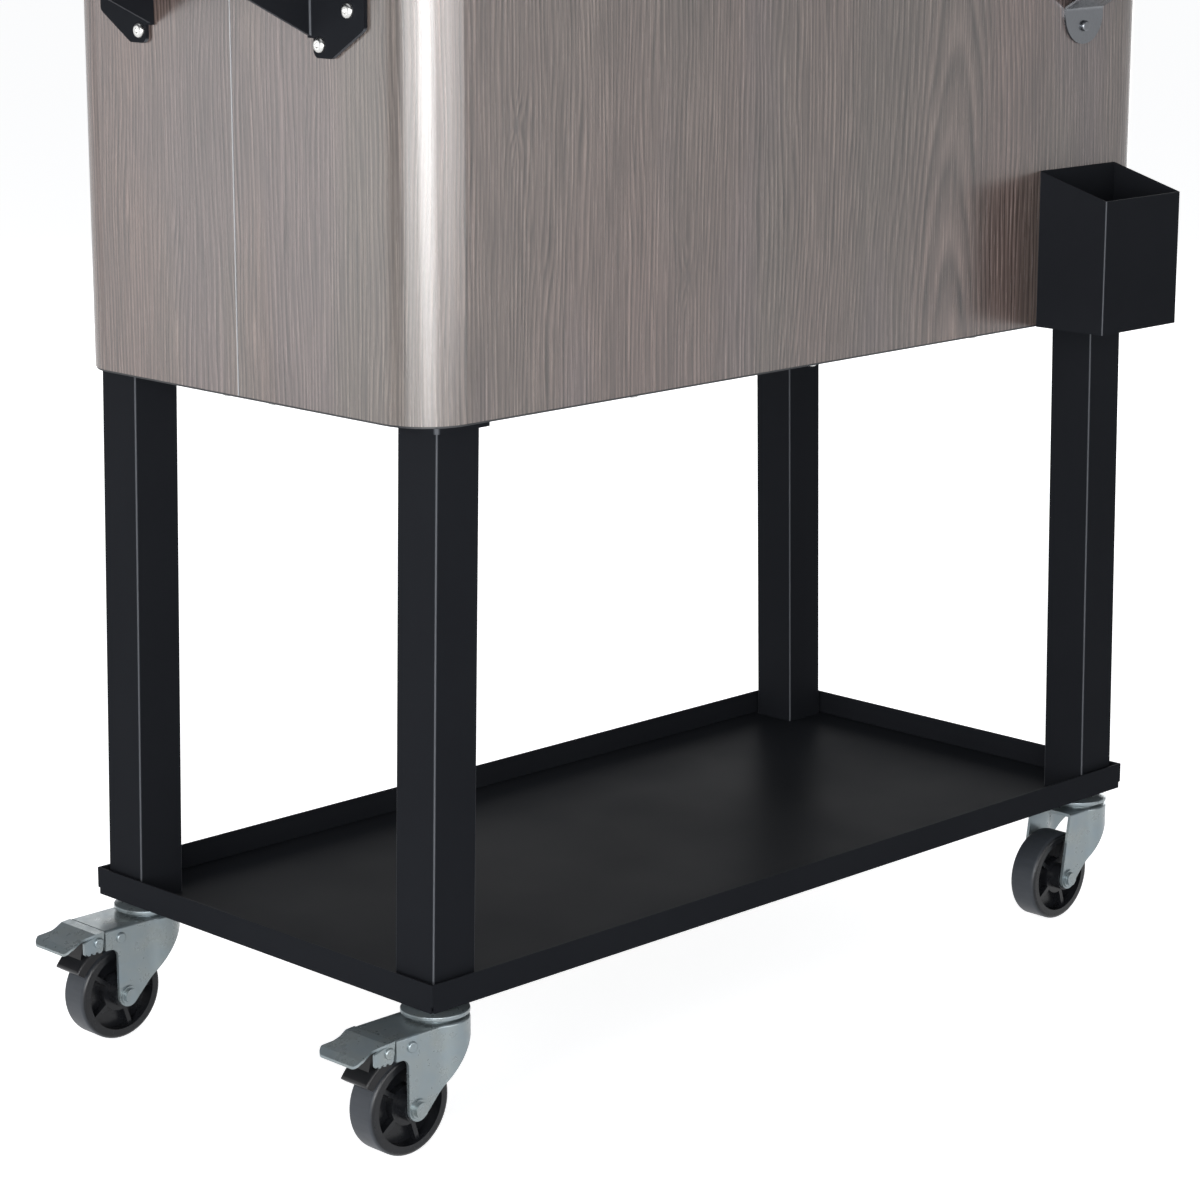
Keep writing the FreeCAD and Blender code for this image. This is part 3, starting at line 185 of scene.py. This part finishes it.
# Moulded plastic and rubber
BLACK_PLASTIC = {
    "dark": (0.008, 0.008, 0.009, 1),
    "light": (0.013, 0.013, 0.015, 1),
    "rough": 0.30,
    "shine": 0.22,
}
WHITE_PLASTIC = {
    "dark": (0.66, 0.67, 0.67, 1),
    "light": (0.72, 0.72, 0.71, 1),
    "rough": 0.48,
    "shine": 0.16,
}
SEAL_RUBBER = {
    "dark": (0.020, 0.020, 0.020, 1),
    "light": (0.030, 0.030, 0.030, 1),
    "rough": 0.70,
    "shine": 0.3,
}
PLASTIC_CLOUD_SCALE = 25.0
PLASTIC_SKIN_SCALE = 1800.0
PLASTIC_SMOOTHER = 0.05
PLASTIC_ROUGHER = 0.07
PLASTIC_BUMP = (0.00004, 0.3)

# Wheels: dark sides and a scuffed tread, which starts and is full at these shares of the wheel's radius
WHEEL_DARK = (0.0096, 0.0102, 0.0120, 1)
WHEEL_LIGHT = (0.0156, 0.0166, 0.0192, 1)
TREAD_DARK = (0.041, 0.046, 0.054, 1)
TREAD_LIGHT = (0.063, 0.070, 0.081, 1)
TREAD_START = 0.955
TREAD_FULL = 0.995
TREAD_GRAIN = (260.0, 40.0, 260.0)
TREAD_ROUGHER = 0.20
WHEEL_CLOUD_SCALE = 70.0
WHEEL_SKIN_SCALE = 1700.0
WHEEL_ROUGHNESS = (0.22, 0.30)
WHEEL_SHINE = 0.25
WHEEL_BUMP = (0.00004, 0.3)

# Insulation
FOAM_DARK = (0.80, 0.78, 0.70, 1)
FOAM_LIGHT = (0.88, 0.86, 0.80, 1)
FOAM_CELL_SCALE = 900.0
FOAM_CLOUD_SCALE = 30.0
FOAM_ROUGHNESS = 0.85
FOAM_BUMP = (0.0004, 0.6)


class Surface:
    """A material in the making: most calls add a shader node and give back its output."""

    def __init__(self, name):
        self.material = bpy.data.materials.new(name)
        self.material.use_nodes = True
        self.tree = self.material.node_tree
        self.shader = self.tree.nodes["Principled BSDF"]

    def feed(self, value, socket):
        """Links an output to the socket, or sets the socket to a plain value."""
        if isinstance(value, bpy.types.NodeSocket):
            self.tree.links.new(value, socket)
        else:
            socket.default_value = value

    def node(self, kind, **settings):
        """New node of the given kind, with its settings."""
        node = self.tree.nodes.new(kind)
        for name, value in settings.items():
            setattr(node, name, value)
        return node

    def place(self):
        """Point of the piece in its own rest position, in metres."""
        return self.node("ShaderNodeTexCoord").outputs["Object"]

    def split(self, vector):
        """The vector's X, Y and Z."""
        node = self.node("ShaderNodeSeparateXYZ")
        self.feed(vector, node.inputs[0])
        return node.outputs["X"], node.outputs["Y"], node.outputs["Z"]

    def join(self, x, y, z):
        """Vector of the given X, Y and Z."""
        node = self.node("ShaderNodeCombineXYZ")
        for value, socket in zip((x, y, z), node.inputs):
            self.feed(value, socket)
        return node.outputs[0]

    def compute(self, operation, *values):
        """Math node of the given operation."""
        node = self.node("ShaderNodeMath", operation=operation)
        for value, socket in zip(values, node.inputs):
            self.feed(value, socket)
        return node.outputs[0]

    def plus(self, first, second):
        return self.compute("ADD", first, second)

    def minus(self, first, second):
        return self.compute("SUBTRACT", first, second)

    def times(self, first, second):
        return self.compute("MULTIPLY", first, second)

    def times_plus(self, first, second, third):
        """First times second, plus third."""
        return self.compute("MULTIPLY_ADD", first, second, third)

    def length(self, first, second):
        """Length of a line from its extents in two directions square to each other."""
        return self.compute("SQRT", self.plus(self.times(first, first), self.times(second, second)))

    def noise(self, vector, scale, detail, roughness=NOISE_ROUGHNESS):
        """Noise of even grain."""
        node = self.node("ShaderNodeTexNoise")
        self.feed(vector, node.inputs["Vector"])
        node.inputs["Scale"].default_value = scale
        node.inputs["Detail"].default_value = detail
        node.inputs["Roughness"].default_value = roughness
        return node.outputs["Fac"]

    def streaks(self, vector, grain, detail, roughness=NOISE_ROUGHNESS):
        """Noise drawn out by a grain that differs along X, Y and Z."""
        node = self.node("ShaderNodeMapping")
        self.feed(vector, node.inputs["Vector"])
        node.inputs["Scale"].default_value = grain
        return self.noise(node.outputs[0], 1.0, detail, roughness)

    def span(self, value, source, target, smooth=False):
        """Value brought from the source range to the target range, and clamped there."""
        node = self.node("ShaderNodeMapRange", interpolation_type="SMOOTHSTEP" if smooth else "LINEAR")
        for number, socket in zip((value, *source, *target), node.inputs):
            self.feed(number, socket)
        return node.outputs[0]

    def blend(self, factor, first, second, mode="MIX"):
        """Blend of two colours."""
        node = self.node("ShaderNodeMix", data_type="RGBA", blend_type=mode)
        self.feed(factor, node.inputs["Factor"])
        self.feed(first, node.inputs[MIX_FIRST])
        self.feed(second, node.inputs[MIX_SECOND])
        return node.outputs[MIX_RESULT]

    def bump(self, height, relief):
        """Normal of a surface with the given height, for a relief of a depth and a strength."""
        depth, strength = relief
        node = self.node("ShaderNodeBump")
        node.inputs["Strength"].default_value = strength
        node.inputs["Distance"].default_value = depth
        self.feed(height, node.inputs["Height"])
        return node.outputs[0]

    def rounding(self):
        """1 on bends and rounded edges, 0 on faces square to the axes; it masks the painted edge highlight.
        """
        normal = self.node("ShaderNodeVectorMath", operation="ABSOLUTE")
        self.feed(self.node("ShaderNodeTexCoord").outputs["Normal"], normal.inputs[0])
        x, y, z = self.split(normal.outputs[0])
        largest = self.compute("MAXIMUM", x, self.compute("MAXIMUM", y, z))
        return self.span(largest, BEND_RANGE, FALLING)

    def finish(self, **sockets):
        """Sets the shader's sockets, named with underscores for spaces, and gives back the material."""
        for name, value in sockets.items():
            self.feed(value, self.shader.inputs[name.replace("_", " ")])
        return self.material


# Materials

def push_by_knots(surface, across, along, z):
    """Pushes the rings aside at the knots. Gives back the new distance across and the share of dark core."""
    core = 0.0
    for knot_along, knot_z in KNOTS:
        aside = surface.minus(along, knot_along)
        above = surface.minus(z, knot_z)
        aside_squared = surface.compute("POWER", surface.compute("DIVIDE", aside, KNOT_WIDTH), 2.0)
        above_squared = surface.compute("POWER", surface.compute("DIVIDE", above, KNOT_HEIGHT), 2.0)
        far = surface.plus(aside_squared, above_squared)
        near = surface.compute("EXPONENT", surface.times(far, -1.0))
        push = surface.times(near, KNOT_PUSH)
        core = surface.plus(core, surface.span(near, KNOT_CORE_RANGE, KNOT_CORE, smooth=True))
        across = surface.times_plus(push, surface.compute("SIGN", aside), across)
    return across, core


def wood_rings(surface, sheet, along, z):
    """Rings, dark below 0 and light above, by the distance from the log's heart, and the knots' cores."""
    across = surface.minus(along, HEART_X)
    for grain, reach in RING_WAVES:
        wave = surface.streaks(sheet, grain, detail=2.0)
        across = surface.times_plus(surface.minus(wave, NOISE_MIDDLE), reach, across)
    across, core = push_by_knots(surface, across, along, z)
    depth = surface.times(surface.minus(z, HEART_LOW), HEART_LEAN)
    phase = surface.times(surface.length(across, depth), math.tau / RING_SPACING)
    overtone = surface.compute("SINE", surface.times(phase, 2.0))
    ring = surface.times_plus(overtone, RING_OVERTONE, surface.compute("SINE", phase))
    fade = surface.span(surface.streaks(sheet, RING_FADE_GRAIN, detail=2.0), MOST_NOISE, RING_FADE)
    return surface.times(ring, fade), core


def wood_ground(surface, sheet):
    """Brown, grey-green and violet-grey bands."""
    green = surface.streaks(sheet, GREEN_GRAIN, detail=1.5)
    violet = surface.streaks(sheet, VIOLET_GRAIN, detail=1.5)
    ground = surface.blend(surface.span(green, GREEN_RANGE, WHOLE, smooth=True), WOOD_BROWN, WOOD_GREEN)
    return surface.blend(surface.span(violet, VIOLET_RANGE, VIOLET_SHARE, smooth=True), ground, WOOD_VIOLET)


def wood_print(name, edge_y, inward, offset, seam_y=None):
    """Wood-look print on one of the wraps, which runs round the corners along the sheet.

    The sheet's broad face is at edge_y, and its ends run from there along Y with the sign of inward.
    The offset is where the sheet is cut from its roll, and seam_y is its edge at the seam.
    """
    surface = Surface(name)
    x, y, z = surface.split(surface.place())
    back = surface.times(surface.minus(y, edge_y), inward)
    along = surface.plus(surface.times_plus(surface.compute("SIGN", x), back, x), offset)
    sheet = surface.join(along, 0.0, z)
    ring, core = wood_rings(surface, sheet, along, z)

    # Fibres and pores: long thin streaks
    fibre = surface.streaks(sheet, FIBRE_GRAIN, detail=4.0, roughness=FIBRE_ROUGHNESS)
    pore = surface.span(surface.streaks(sheet, PORE_GRAIN, detail=1.0), PORE_RANGE, WHOLE)

    # Colour: bands under shades, fibres and rings, and then the pores, the knots' cores and the seam
    shade = surface.span(surface.streaks(sheet, SHADE_GRAIN, detail=2.0), MOST_NOISE, SHADE_LEVELS)
    level = surface.times(shade, surface.span(fibre, FIBRE_RANGE, FIBRE_LEVELS))
    level = surface.times(level, surface.times_plus(ring, RING_CONTRAST, 1.0))
    colour = surface.blend(1.0, wood_ground(surface, sheet), surface.join(level, level, level), "MULTIPLY")
    colour = surface.blend(surface.times(pore, PORE_STRENGTH), colour, WOOD_PORE)
    colour = surface.blend(core, colour, WOOD_PORE)
    if seam_y is not None:
        to_seam = surface.compute("ABSOLUTE", surface.minus(y, seam_y))
        colour = surface.blend(surface.span(to_seam, SEAM_FADE, FALLING), colour, SEAM_COLOUR)

    height = surface.times_plus(ring, RING_RELIEF, surface.times(fibre, FIBRE_RELIEF))
    height = surface.minus(height, surface.times(pore, PORE_RELIEF))
    return surface.finish(Base_Color=colour, Roughness=surface.span(fibre, MOST_NOISE, WOOD_ROUGHNESS),
                          Specular_IOR_Level=WOOD_SHINE, Normal=surface.bump(height, WOOD_BUMP))


def powder_coat(name, shine, edge=None):
    """Black powder coat: a fine orange peel, uneven gloss and, where an edge colour is given, a painted
    highlight on the bends.
    """
    surface = Surface(name)
    place = surface.place()
    cloud = surface.noise(place, COAT_CLOUD_SCALE, detail=4.0)
    peel = surface.noise(place, COAT_PEEL_SCALE, detail=2.0)
    grit = surface.noise(place, COAT_GRIT_SCALE, detail=1.0)
    colour = surface.blend(cloud, COAT_DARK, COAT_LIGHT)
    # Painted highlight: the edge colour lightens bends and rounded edges, standing in for light caught there
    if edge:
        colour = surface.blend(surface.rounding(), colour, edge)
    rough = surface.plus(surface.span(cloud, MOST_NOISE, COAT_ROUGHNESS),
                         surface.span(grit, COAT_GRIT_RANGE, COAT_GRIT))
    return surface.finish(Base_Color=colour, Roughness=rough, Specular_IOR_Level=shine,
                          Normal=surface.bump(peel, COAT_BUMP))


def zinc_plate(name):
    """Blue zinc plate: rolled sheet under a thin milky coat with cloudy stains."""
    surface = Surface(name)
    place = surface.place()
    cloud = surface.noise(place, ZINC_CLOUD_SCALE, detail=4.0)
    stain = surface.noise(place, ZINC_STAIN_SCALE, detail=3.0)
    scratch = surface.streaks(place, ZINC_SCRATCH_GRAIN, detail=2.0)
    colour = surface.blend(surface.span(cloud, ZINC_CLOUD_RANGE, WHOLE), ZINC_GREY, ZINC_BLUE)
    colour = surface.blend(surface.span(stain, ZINC_STAIN_RANGE, ZINC_STAIN_SHARE), colour, ZINC_STAIN)
    rough = surface.plus(surface.span(cloud, MOST_NOISE, ZINC_ROUGHNESS),
                         surface.span(stain, MOST_NOISE, ZINC_STAIN_ROUGHNESS))
    return surface.finish(Base_Color=colour, Metallic=ZINC_METAL, Roughness=rough,
                          Normal=surface.bump(scratch, ZINC_BUMP))


def brushed_steel(name, grain, tint):
    """Bright steel with the fine lines of brushing or turning."""
    surface = Surface(name)
    place = surface.place()
    lines = surface.streaks(place, grain, detail=2.0)
    cloud = surface.noise(place, STEEL_CLOUD_SCALE, detail=3.0)
    colour = surface.blend(cloud, tint, [min(1.0, level * STEEL_PALER) for level in tint])
    rough = surface.span(lines, MOST_NOISE, STEEL_ROUGHNESS)
    return surface.finish(Base_Color=colour, Metallic=1.0, Roughness=rough,
                          Normal=surface.bump(lines, STEEL_BUMP))


def moulded_plastic(name, dark, light, rough, shine):
    """Moulded plastic with a fine spark-eroded skin."""
    surface = Surface(name)
    place = surface.place()
    cloud = surface.noise(place, PLASTIC_CLOUD_SCALE, detail=4.0)
    skin = surface.noise(place, PLASTIC_SKIN_SCALE, detail=2.0)
    roughness = surface.span(cloud, MOST_NOISE, (rough - PLASTIC_SMOOTHER, rough + PLASTIC_ROUGHER))
    return surface.finish(Base_Color=surface.blend(cloud, dark, light), Roughness=roughness,
                          Specular_IOR_Level=shine, Normal=surface.bump(skin, PLASTIC_BUMP))


def wheel_plastic(name, node):
    """Dark wheel plastic whose tread is scuffed a little paler than its sides."""
    surface = Surface(name)
    low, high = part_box(node)
    centre = (low + high) / 2
    reach = (high.z - low.z) / 2
    place = surface.place()
    x, _, z = surface.split(place)
    radius = surface.length(surface.minus(x, centre.x), surface.minus(z, centre.z))
    tread = surface.span(radius, (TREAD_START * reach, TREAD_FULL * reach), WHOLE, smooth=True)
    cloud = surface.noise(place, WHEEL_CLOUD_SCALE, detail=4.0)
    scuff = surface.streaks(place, TREAD_GRAIN, detail=3.0)
    skin = surface.noise(place, WHEEL_SKIN_SCALE, detail=2.0)
    colour = surface.blend(tread, surface.blend(cloud, WHEEL_DARK, WHEEL_LIGHT),
                           surface.blend(scuff, TREAD_DARK, TREAD_LIGHT))
    rough = surface.plus(surface.span(cloud, MOST_NOISE, WHEEL_ROUGHNESS),
                         surface.times(tread, TREAD_ROUGHER))
    return surface.finish(Base_Color=colour, Roughness=rough, Specular_IOR_Level=WHEEL_SHINE,
                          Normal=surface.bump(skin, WHEEL_BUMP))


def foam(name):
    """Foamed-in-place insulation, with its cells."""
    surface = Surface(name)
    place = surface.place()
    cells = surface.node("ShaderNodeTexVoronoi")
    surface.feed(place, cells.inputs["Vector"])
    cells.inputs["Scale"].default_value = FOAM_CELL_SCALE
    cloud = surface.noise(place, FOAM_CLOUD_SCALE, detail=4.0)
    return surface.finish(Base_Color=surface.blend(cloud, FOAM_DARK, FOAM_LIGHT), Roughness=FOAM_ROUGHNESS,
                          Normal=surface.bump(cells.outputs["Distance"], FOAM_BUMP))


def dress_nodes():
    """Gives every CAD node its own material, or else the material of its slot."""
    front_low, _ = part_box("front_wrap_panel")
    rear_low, rear_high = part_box("rear_wrap_panel")
    by_slot = {
        "black_powder_coat": powder_coat("satin black powder coat", SATIN_SHINE),
        "black_plastic": moulded_plastic("black plastic", **BLACK_PLASTIC),
        "white_plastic": moulded_plastic("white plastic", **WHITE_PLASTIC),
        "foam": foam("foam"),
        "seal_rubber": moulded_plastic("seal rubber", **SEAL_RUBBER),
        "stainless": brushed_steel("stainless steel", **STAINLESS),
        "bright_fasteners": brushed_steel("bright fasteners", **BRIGHT_FASTENERS),
        "zinc_plate": zinc_plate("zinc plate"),
    }
    # The folded pieces' dull coat has a painted highlight on its bends and rounded edges
    folded = powder_coat("dull black powder coat with painted highlights", DULL_SHINE, EDGE_HIGHLIGHT_COLOUR)
    by_node = {
        "front_wrap_panel": wood_print("front wood print", edge_y=front_low.y, inward=1.0, offset=0.0),
        "rear_wrap_panel": wood_print("rear wood print", edge_y=rear_high.y, inward=-1.0, offset=REAR_OFFSET,
                                      seam_y=rear_low.y),
    }
    for row in frame["record"]["subparts"]:
        node = row["node"]
        slot = row["material_slot"]
        if node.startswith(FOLDED_PIECES):
            material = folded
        elif slot == "wheel_plastic":
            material = wheel_plastic(node.replace("_", " "), node)
        else:
            material = by_node.get(node) or by_slot[slot]
        mesh = frame["nodes"][node].data
        mesh.materials.clear()
        mesh.materials.append(material)


# Studio

def build_floor():
    """Pale floor: white to the camera and in reflections, with the object's shadow on it."""
    half = FLOOR_SIZE / 2
    corners = [(-half, -half, 0), (half, -half, 0), (half, half, 0), (-half, half, 0)]
    mesh = bpy.data.meshes.new("floor")
    mesh.from_pydata(corners, [], [(0, 1, 2, 3)])
    floor = bpy.data.objects.new("floor", mesh)
    bpy.context.scene.collection.objects.link(floor)
    surface = Surface("floor")
    path = surface.node("ShaderNodeLightPath").outputs
    mirrored = surface.compute("MAXIMUM", path["Is Glossy Ray"], path["Is Transmission Ray"])
    seen = surface.compute("MAXIMUM", path["Is Camera Ray"], mirrored)
    material = surface.finish(Base_Color=FLOOR_COLOUR, Roughness=1.0, Specular_IOR_Level=0.0,
                              Emission_Color=GLOW_COLOUR, Emission_Strength=surface.times(seen, FLOOR_GLOW))
    mesh.materials.append(material)


def build_world():
    """Grey studio that pales towards the horizon, where it meets the floor."""
    world = bpy.data.worlds.new("studio")
    bpy.context.scene.world = world
    world.use_nodes = True
    tree = world.node_tree
    direction = tree.nodes.new("ShaderNodeTexCoord").outputs["Generated"]
    parts = tree.nodes.new("ShaderNodeSeparateXYZ")
    tree.links.new(direction, parts.inputs[0])
    rise = tree.nodes.new("ShaderNodeMapRange")
    rise.interpolation_type = "SMOOTHSTEP"
    rise.inputs["From Min"].default_value = SKY_START
    rise.inputs["From Max"].default_value = SKY_FULL
    tree.links.new(parts.outputs["Z"], rise.inputs["Value"])
    sky = tree.nodes.new("ShaderNodeMix")
    sky.data_type = "RGBA"
    sky.inputs[MIX_FIRST].default_value = HORIZON_COLOUR
    sky.inputs[MIX_SECOND].default_value = SKY_COLOUR
    tree.links.new(rise.outputs[0], sky.inputs["Factor"])
    tree.links.new(sky.outputs[MIX_RESULT], tree.nodes["Background"].inputs["Color"])


def softbox(name, place, target, size, radiance):
    """Rectangular lamp of even radiance that faces the target. Gives back the lamp's object."""
    width, height = size
    lamp = bpy.data.lights.new(name, "AREA")
    lamp.shape = "RECTANGLE"
    lamp.size = width
    lamp.size_y = height
    lamp.energy = radiance * math.pi * width * height
    lamp_object = bpy.data.objects.new(name, lamp)
    lamp_object.visible_camera = False
    lamp_object.location = place
    lamp_object.rotation_euler = (target - place).to_track_quat("-Z", "Y").to_euler()
    bpy.context.scene.collection.objects.link(lamp_object)
    return lamp_object


def build_key():
    """Key light's strips, each with the strip just in front of it that stands for it in reflections."""
    right = (KEY_TARGET - KEY_PLACE).cross(UP).normalized()
    for aside, width, radiance in KEY_STRIPS:
        place = KEY_PLACE + right * aside
        target = KEY_TARGET + right * aside
        key = softbox("key", place, target, (width, KEY_HEIGHT), radiance)
        key.data.color = KEY_COLOUR
        key.visible_glossy = False
        nearer = place + (target - place).normalized() * GLEAM_GAP
        gleam = softbox("key gleam", nearer, target, (width, KEY_HEIGHT), radiance * KEY_GLEAM)
        gleam.visible_diffuse = False


def build_lights():
    """Key light, gleam panels and the other lamps."""
    build_key()
    for angle, width, radiance in GLEAM_PANELS:
        turn = math.radians(angle)
        place = GLEAM_CENTRE + Vector((math.cos(turn), math.sin(turn), 0)) * GLEAM_DISTANCE
        gleam = softbox("gleam panel", place, GLEAM_CENTRE, (width, KEY_HEIGHT), radiance)
        gleam.visible_diffuse = False
    for name, place, size, radiance in LAMPS:
        softbox(name, place, LAMP_TARGET, size, radiance)


def build_camera():
    """Camera with the photograph's place, direction and field of view."""
    azimuth, pitch, roll = (math.radians(angle) for angle in (CAMERA_AZIMUTH, CAMERA_PITCH, CAMERA_ROLL))
    back = Vector((math.sin(azimuth) * math.cos(pitch),
                   -math.cos(azimuth) * math.cos(pitch),
                   math.sin(pitch)))
    right = UP.cross(back).normalized()
    up = back.cross(right)
    turned_right = right * math.cos(roll) + up * math.sin(roll)
    turned_up = up * math.cos(roll) - right * math.sin(roll)
    matrix = Matrix((turned_right, turned_up, back)).transposed().to_4x4()
    matrix.translation = CAMERA_PLACE
    lens = bpy.data.cameras.new("camera")
    lens.sensor_width = SENSOR_WIDTH
    lens.lens = FOCAL_PIXELS / PHOTO_WIDTH * SENSOR_WIDTH
    camera = bpy.data.objects.new("camera", lens)
    camera.matrix_world = matrix
    bpy.context.scene.collection.objects.link(camera)
    bpy.context.scene.camera = camera


dress_nodes()
build_floor()
build_world()
build_lights()
build_camera()
bpy.context.scene.view_settings.view_transform = "Standard"
